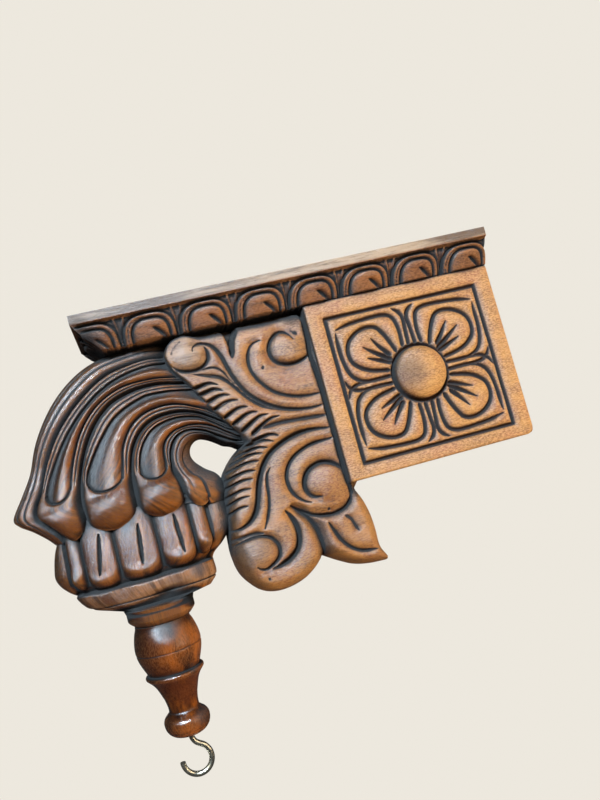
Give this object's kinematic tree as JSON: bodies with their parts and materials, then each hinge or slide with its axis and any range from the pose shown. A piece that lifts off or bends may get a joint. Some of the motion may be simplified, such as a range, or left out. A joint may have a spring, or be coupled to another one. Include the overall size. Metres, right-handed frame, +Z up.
{
  "type": "carved wooden wall bracket",
  "caption": "Carved wooden wall bracket: a square block with a flower, scrolled leaves, an arm bent down into a petalled bell, a petal moulding, a turned drop and a screw hook.",
  "frame": {"origin": "middle of the square block's face that lies on the wall", "axes": "+X into the wall, so the arm reaches out along -X; +Y across the bracket, between its two carved faces; +Z up"},
  "size_m": [0.309, 0.064, 0.2657],
  "materials": {
    "carved_wood": "worn waxed wood, dark in the cuts",
    "moulding_wood": "worn stained wood, greyed on the top fillet",
    "turned_wood": "polished reddish wood",
    "hook_steel": "bright bent wire"
  },
  "bodies": {
    "root": {"carved_body": "carved_wood", "top_moulding": "moulding_wood", "turned_drop": "turned_wood", "screw_hook": "hook_steel"}
  },
  "joints": []
}
